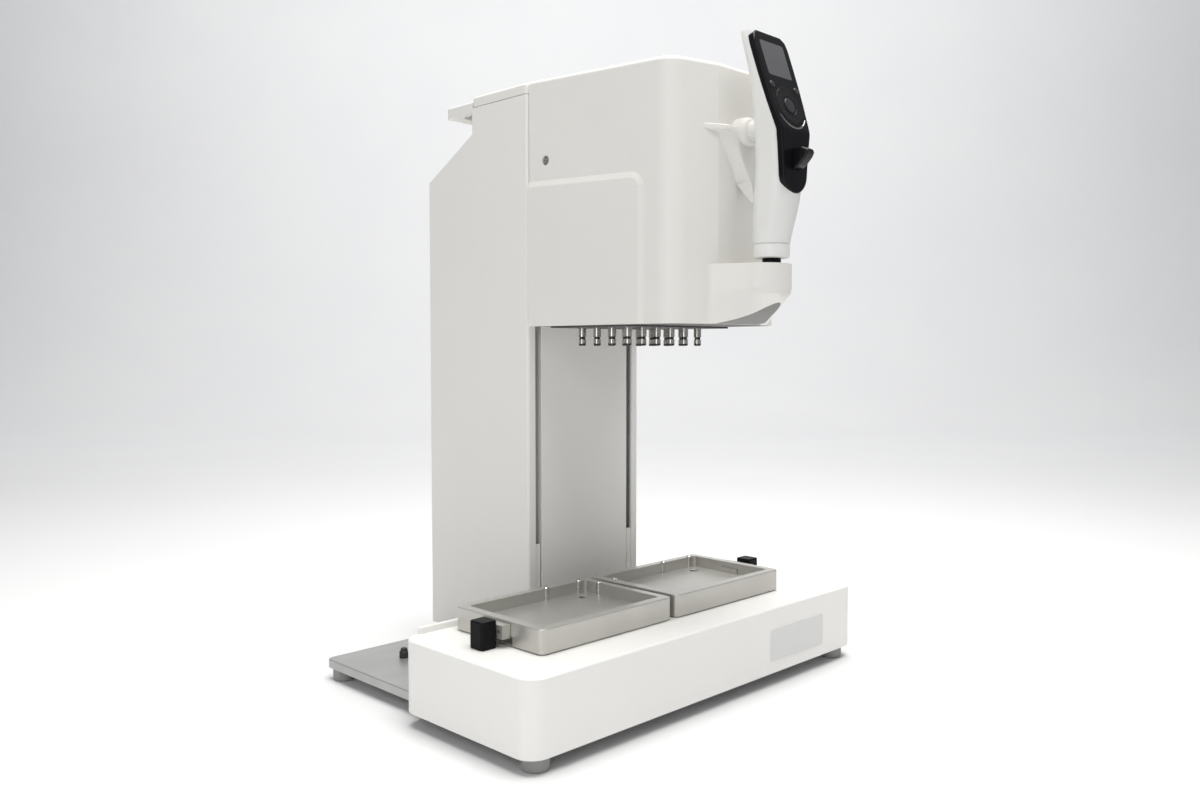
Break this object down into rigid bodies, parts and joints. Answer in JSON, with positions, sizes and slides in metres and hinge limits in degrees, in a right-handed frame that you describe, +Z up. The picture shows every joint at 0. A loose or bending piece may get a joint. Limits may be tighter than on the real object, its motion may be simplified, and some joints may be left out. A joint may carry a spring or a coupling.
{
  "type": "liquid handling robot",
  "caption": "Bench pipetting workstation: low base with two plate holders, tower that slides sideways, head with a field of nozzles that moves up and down, and an upright handset.",
  "frame": {"origin": "on the bench under the centre of the whole part's box", "axes": "+X to the right along the base, +Y to the back, +Z up; the handset and nozzles face the user at -Y"},
  "size_m": [0.417, 0.3884, 0.5407],
  "materials": {
    "plate_aluminium": "fine bead blasted, clear anodised",
    "foot_rubber": "grey moulded rubber",
    "white_metal": "fine textured powder coat, warm white",
    "bare_plate": "bare satin cover plate",
    "rail_steel": "ground bearing steel",
    "black_rubber": "black bumper rubber",
    "anodised": "satin warm grey anodised",
    "screw_steel": "turned stainless",
    "slide_steel": "fine brushed stainless",
    "black_plastic": "fine grained black",
    "frame_aluminium": "milled",
    "motor_black": "black lacquer",
    "white_plastic": "satin moulded warm white",
    "pin_brass": "plated",
    "dark_metal": "matt dark coat",
    "nozzle_steel": "turned stainless",
    "black_gloss": "polished black",
    "screen_glass": "dark display window",
    "wheel_plastic": "satin dark grey",
    "key_plastic": "satin grey"
  },
  "bodies": {
    "base": {"base_plate": "plate_aluminium", "feet": "foot_rubber", "base_housing": "white_metal", "label_plate": "bare_plate", "x_rails": "rail_steel", "end_stops": "black_rubber", "holder_a": "anodised", "holder_b": "anodised", "holder_screws": "screw_steel", "nest_pins": "screw_steel"},
    "tower": {"x_carriage": "frame_aluminium", "rail_blocks": "rail_steel", "tower_frame": "frame_aluminium", "z_rails": "rail_steel", "z_motor": "motor_black", "power_supply": "frame_aluminium", "tower_side_left": "white_metal", "tower_side_right": "white_metal", "tower_front": "white_metal", "slot_fillers": "white_metal", "tower_back_cover": "white_metal", "connector_panel": "plate_aluminium", "tower_cap": "white_plastic", "rear_handle": "white_plastic", "back_screws": "screw_steel", "power_inlet": "black_plastic", "inlet_pins": "pin_brass", "switch_frame": "black_plastic", "data_ports": "slide_steel"},
    "head": {"z_carriage": "frame_aluminium", "head_frame": "frame_aluminium", "head_cover": "white_plastic", "side_screws": "screw_steel", "head_bottom": "dark_metal", "nozzle_block": "frame_aluminium", "nozzles": "nozzle_steel", "nose": "white_plastic", "handset_bracket": "white_plastic", "handset_spigot": "black_plastic", "handset_collar": "white_plastic", "handset_body": "white_plastic", "handset_face": "black_gloss", "screen": "screen_glass", "touch_wheel": "wheel_plastic"},
    "screw": {"lead_screw": "rail_steel"},
    "rocker": {"switch_rocker": "black_plastic"},
    "ejector": {"ejector_plate": "dark_metal"},
    "left_clamp": {"clamp_a": "slide_steel", "clamp_a_knob": "black_plastic"},
    "right_clamp": {"clamp_b": "slide_steel", "clamp_b_knob": "black_plastic"},
    "ok_key": {"key_ok": "key_plastic"},
    "back_key": {"key_back": "key_plastic"},
    "menu_key": {"key_menu": "key_plastic"},
    "run_lever": {"run_button": "black_plastic"}
  },
  "joints": [
    {"name": "tower_slide", "type": "slide", "parent": "base", "child": "tower", "axis": [1, 0, 0], "range_m": [-0.0906, 0.0622]},
    {"name": "head_slide", "type": "slide", "parent": "tower", "child": "head", "axis": [0, 0, 1], "range_m": [-0.17, 0]},
    {"name": "screw_spin", "type": "hinge", "parent": "tower", "child": "screw", "pos_m": [0, 0.0858, 0.3], "axis": [0, 0, 1], "continuous": true},
    {"name": "ejector_stroke", "type": "slide", "parent": "head", "child": "ejector", "axis": [0, 0, -1], "range_m": [0, 0.014], "stiffness_N_per_m": 1500, "springref_m": -0.005},
    {"name": "left_clamp_slide", "type": "slide", "parent": "base", "child": "left_clamp", "axis": [-1, 0, 0], "range_m": [0, 0.008], "stiffness_N_per_m": 700, "springref_m": -0.005},
    {"name": "right_clamp_slide", "type": "slide", "parent": "base", "child": "right_clamp", "axis": [1, 0, 0], "range_m": [0, 0.008], "stiffness_N_per_m": 700, "springref_m": -0.005},
    {"name": "run_press", "type": "slide", "parent": "head", "child": "run_lever", "axis": [0, 1, 0], "range_m": [0, 0.002], "stiffness_N_per_m": 900, "springref_m": -0.001},
    {"name": "ok_press", "type": "slide", "parent": "head", "child": "ok_key", "axis": [0, 0.9455, -0.3256], "range_m": [0, 0.0007], "stiffness_N_per_m": 500, "springref_m": -0.0008},
    {"name": "back_press", "type": "slide", "parent": "head", "child": "back_key", "axis": [0, 0.9455, -0.3256], "range_m": [0, 0.0007], "stiffness_N_per_m": 500, "springref_m": -0.0008},
    {"name": "menu_press", "type": "slide", "parent": "head", "child": "menu_key", "axis": [0, 0.9455, -0.3256], "range_m": [0, 0.0007], "stiffness_N_per_m": 500, "springref_m": -0.0008},
    {"name": "power_rock", "type": "hinge", "parent": "tower", "child": "rocker", "pos_m": [0.001, 0.1868, 0.069], "axis": [1, 0, 0], "range_deg": [0, 13]}
  ],
  "couplings": [
    {"joint": "screw_spin", "follows": "head_slide", "rad_per_m": -314.16}
  ]
}
